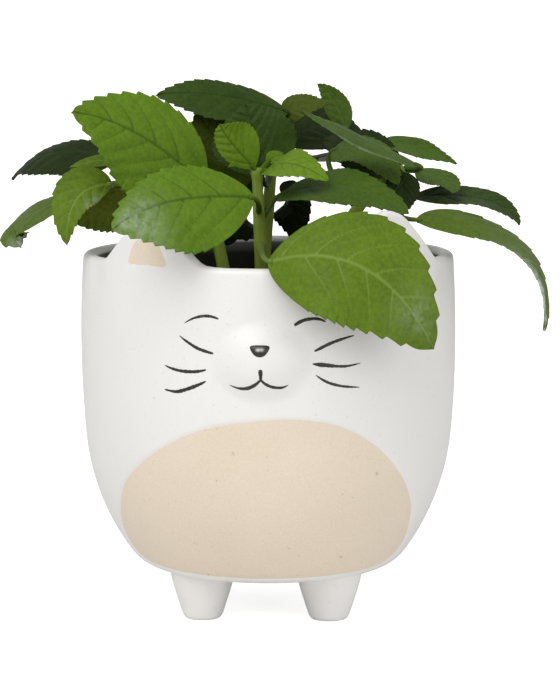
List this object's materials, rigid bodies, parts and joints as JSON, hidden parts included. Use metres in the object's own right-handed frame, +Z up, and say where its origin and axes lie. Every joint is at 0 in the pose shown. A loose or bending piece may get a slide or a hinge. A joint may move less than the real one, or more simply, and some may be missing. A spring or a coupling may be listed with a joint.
{
  "type": "animal shaped planter",
  "caption": "White glazed cat-shaped planter on short round feet, with a sleeping face, bare clay belly and ears, and a toothed-leaf plant in a lift-out grow pot.",
  "frame": {"origin": "on the pot's axis, in the plane that the feet stand on", "axes": "+Z up along the pot's axis, the face looks along -Y, +X to the right of a viewer who looks at the face"},
  "size_m": [0.1881, 0.1684, 0.1883],
  "materials": {
    "white_glaze": "satin",
    "bare_clay": "matte",
    "dark_glaze": "satin",
    "plug_rubber": "matte",
    "black_plastic": "matte",
    "potting_mix": "matte",
    "stem": "satin",
    "leaf": "satin"
  },
  "bodies": {
    "planter": {"belly_panel": "bare_clay", "front_left_foot": "white_glaze", "front_right_foot": "white_glaze", "left_ear": "white_glaze", "left_eye": "dark_glaze", "left_inner_ear": "bare_clay", "left_whiskers": "dark_glaze", "mouth": "dark_glaze", "muzzle": "white_glaze", "nose": "dark_glaze", "pot_shell": "white_glaze", "rear_left_foot": "white_glaze", "rear_right_foot": "white_glaze", "right_ear": "white_glaze", "right_eye": "dark_glaze", "right_inner_ear": "bare_clay", "right_whiskers": "dark_glaze"},
    "plant": {"grow_pot": "black_plastic", "leaf_apex_left": "leaf", "leaf_apex_right": "leaf", "leaf_back_face": "leaf", "leaf_back_left": "leaf", "leaf_back_right": "leaf", "leaf_bud": "leaf", "leaf_far_left": "leaf", "leaf_far_right": "leaf", "leaf_front_left": "leaf", "leaf_left_curl": "leaf", "leaf_left_fold": "leaf", "leaf_left_under": "leaf", "leaf_over_rim": "leaf", "leaf_ridge": "leaf", "leaf_right_droop": "leaf", "leaf_right_face": "leaf", "leaf_right_fold": "leaf", "leaf_right_light": "leaf", "leaf_right_low": "leaf", "leaf_spike": "leaf", "leaf_top": "leaf", "leaf_top_under": "leaf", "leaf_upper_left": "leaf", "potting_mix": "potting_mix", "stem_back": "stem", "stem_far_left": "stem", "stem_far_right": "stem", "stem_front": "stem", "stem_left": "stem", "stem_right": "stem"},
    "plug": {"drain_plug": "plug_rubber"}
  },
  "joints": [
    {"name": "plant_lift", "type": "slide", "parent": "planter", "child": "plant", "axis": [0, 0, 1], "range_m": [0, 0.13]},
    {"name": "plug_pull", "type": "slide", "parent": "planter", "child": "plug", "axis": [0, 0, -1], "range_m": [0, 0.01]}
  ]
}
